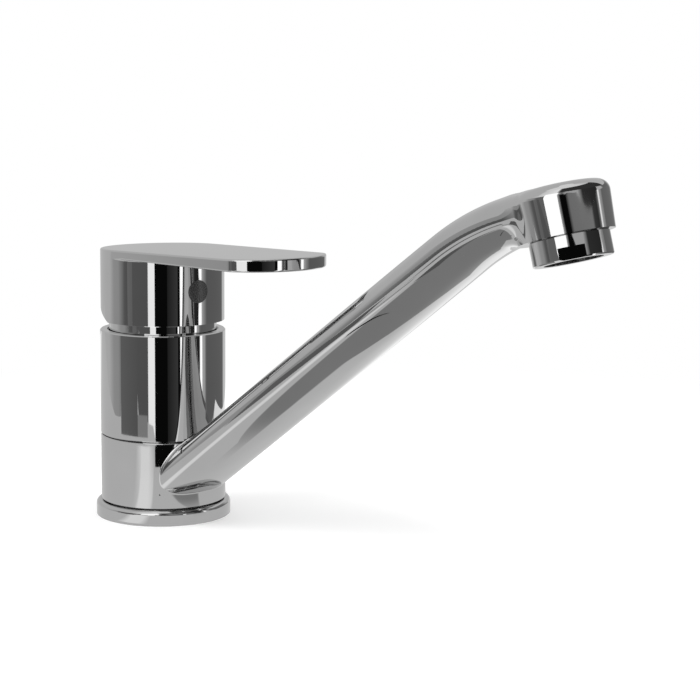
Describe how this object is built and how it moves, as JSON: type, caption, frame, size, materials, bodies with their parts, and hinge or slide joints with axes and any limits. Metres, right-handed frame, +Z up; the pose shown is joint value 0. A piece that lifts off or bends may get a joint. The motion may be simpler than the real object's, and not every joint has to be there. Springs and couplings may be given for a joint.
{
  "type": "mixer tap",
  "caption": "Kitchen mixer tap with a round body, a long rising swivel spout ending in an aerator, and a flat paddle lever on a ceramic-disc cartridge.",
  "frame": {"origin": "centre of the underside of the base ring, on the worktop", "axes": "+Z up along the body's axis, +X the way the spout points, +Y completes the right-handed set; the hot and cold inlets lie to +Y and -Y"},
  "size_m": [0.2402, 0.0584, 0.1443],
  "materials": {
    "chrome": "polished",
    "brass": "satin",
    "steel": "satin",
    "rubber": "matte",
    "white_plastic": "satin",
    "grey_plastic": "satin",
    "ceramic": "polished",
    "index_plastic": "gloss",
    "aerator_plastic": "satin"
  },
  "bodies": {
    "body": {"body_casting": "chrome", "base_ring": "chrome", "base_gasket": "rubber", "retaining_clip": "steel", "lower_slide_ring": "white_plastic", "upper_slide_ring": "white_plastic", "spout_seals": "rubber", "cartridge_base": "white_plastic", "port_seals": "rubber", "lower_ceramic_disc": "ceramic", "cartridge_housing": "white_plastic", "cartridge_nut": "brass", "neck_ring": "chrome"},
    "spout": {"spout_casting": "chrome", "aerator_housing": "chrome", "aerator_insert": "aerator_plastic", "aerator_screen": "aerator_plastic", "aerator_gasket": "rubber"},
    "turret": {"cartridge_turret": "grey_plastic", "lever_pin": "steel"},
    "lever": {"lever_handle": "chrome", "lever_stem": "steel", "grub_screw": "steel", "index_plug": "index_plastic"},
    "sliding_disc": {"upper_ceramic_disc": "ceramic", "disc_carrier": "grey_plastic"}
  },
  "joints": [
    {"name": "spout_swivel", "type": "hinge", "parent": "body", "child": "spout", "pos_m": [0, 0, 0.0195], "axis": [0, 0, 1], "continuous": true},
    {"name": "lever_turn", "type": "hinge", "parent": "body", "child": "turret", "pos_m": [0, 0, 0.07], "axis": [0, 0, 1], "range_deg": [-42.8, 57.2]},
    {"name": "lever_lift", "type": "hinge", "parent": "turret", "child": "lever", "pos_m": [0, 0, 0.076], "axis": [-0.1253, -0.9921, 0], "range_deg": [0, 24]},
    {"name": "disc_slide", "type": "slide", "parent": "turret", "child": "sliding_disc", "axis": [0.9921, -0.1253, 0], "range_m": [0, 0.00645]}
  ],
  "couplings": [
    {"joint": "disc_slide", "follows": "lever_lift", "m_per_rad": 0.015387}
  ]
}
